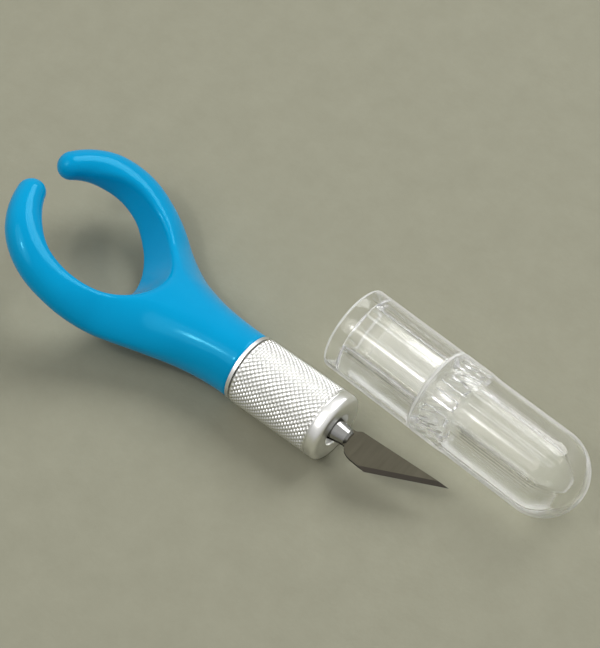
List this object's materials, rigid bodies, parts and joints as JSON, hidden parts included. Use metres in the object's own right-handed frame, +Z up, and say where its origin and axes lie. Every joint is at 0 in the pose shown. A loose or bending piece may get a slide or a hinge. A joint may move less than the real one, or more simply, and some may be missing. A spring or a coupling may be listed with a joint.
{
  "type": "fingertip craft knife",
  "caption": "Craft knife worn on the fingertip: open finger-ring handle, knurled collet chuck with a fine-point blade, and a clear push-on cap lying beside it.",
  "frame": {"origin": "middle of the bounding box, on the table that the knife and its cap lie on", "axes": "+X along the chuck axis towards the blade's point, +Y across the table towards the cap, +Z up"},
  "size_m": [0.1024, 0.0378, 0.0206],
  "materials": {
    "handle_blue": "smooth, moulded",
    "bushing_metal": "turned, satin",
    "sleeve_metal": "diamond knurled, satin",
    "collet_metal": "polished",
    "blade_steel": "ground",
    "cap_clear": "clear, polished"
  },
  "bodies": {
    "handle": {"finger_ring_handle": "handle_blue", "chuck_bushing": "bushing_metal"},
    "collet": {"collet": "collet_metal"},
    "sleeve": {"chuck_sleeve": "sleeve_metal"},
    "blade": {"blade": "blade_steel"},
    "cap": {"cap_tube": "cap_clear", "cap_tail": "cap_clear"}
  },
  "joints": [
    {"name": "collet_advance", "type": "slide", "parent": "handle", "child": "collet", "axis": [1, 0, 0], "range_m": [0, 0.0012]},
    {"name": "sleeve_turn", "type": "hinge", "parent": "collet", "child": "sleeve", "pos_m": [0.004, -0.00444, 0.006], "axis": [1, 0, 0], "range_deg": [0, 540]},
    {"name": "blade_slide", "type": "slide", "parent": "collet", "child": "blade", "axis": [1, 0, 0], "range_m": [0, 0.0225]},
    {"name": "cap_slide", "type": "slide", "parent": "handle", "child": "cap", "axis": [0.9986, -0.0523, 0], "range_m": [0, 0.06]}
  ],
  "couplings": [
    {"joint": "collet_advance", "follows": "sleeve_turn", "m_per_rad": 0.00011937}
  ]
}
